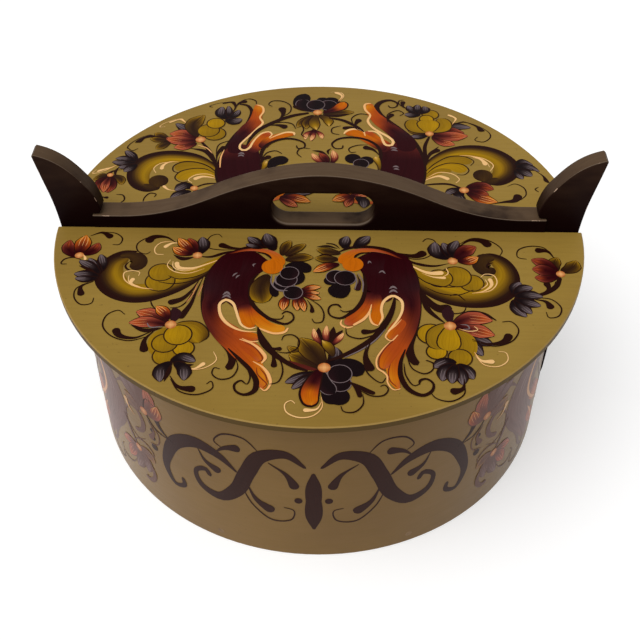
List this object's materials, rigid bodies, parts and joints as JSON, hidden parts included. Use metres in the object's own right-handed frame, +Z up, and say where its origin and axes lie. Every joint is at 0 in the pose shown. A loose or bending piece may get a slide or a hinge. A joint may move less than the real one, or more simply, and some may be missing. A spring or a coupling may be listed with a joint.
{
  "type": "norwegian tine box",
  "caption": "Round bentwood tine box with a flat overhanging lid, an arched handle bar with a hand hole, and two side posts whose noses snap over the bar's ends.",
  "frame": {"origin": "centre of the underside, where the band's lower edge rests on the table", "axes": "+Z up, +X along the handle bar towards the right-hand post, front is -Y"},
  "size_m": [0.3128, 0.3, 0.1743],
  "materials": {
    "painted_band": "satin varnish over olive-brown paint",
    "painted_lid": "satin varnish over mustard-olive paint",
    "dark_paint": "satin varnish over dark brown paint, worn at the edges",
    "bare_wood": "planed pine, aged",
    "root": "split root, smooth",
    "peg_wood": "end grain, planed flush"
  },
  "bodies": {
    "box": {"side_band": "painted_band", "lap_lacing": "root", "bottom_board": "bare_wood", "bottom_pegs": "peg_wood", "left_post_pegs": "peg_wood", "right_post_pegs": "peg_wood"},
    "lid": {"lid_board": "painted_lid", "handle_bar": "dark_paint", "handle_dowels": "peg_wood"},
    "left_post": {"left_post": "dark_paint"},
    "right_post": {"right_post": "dark_paint"}
  },
  "joints": [
    {"name": "lid_lift", "type": "slide", "parent": "box", "child": "lid", "axis": [0, 0, 1], "range_m": [0, 0.075], "deforming": ["left_post", "right_post"]},
    {"name": "left_post_flex", "type": "hinge", "parent": "box", "child": "left_post", "pos_m": [-0.1418, 0.0028, 0.007], "axis": [0, -1, 0], "range_deg": [0, 3], "stiffness_Nm_per_rad": 40},
    {"name": "right_post_flex", "type": "hinge", "parent": "box", "child": "right_post", "pos_m": [0.1418, 0.0028, 0.007], "axis": [0, 1, 0], "range_deg": [0, 3], "stiffness_Nm_per_rad": 40}
  ]
}
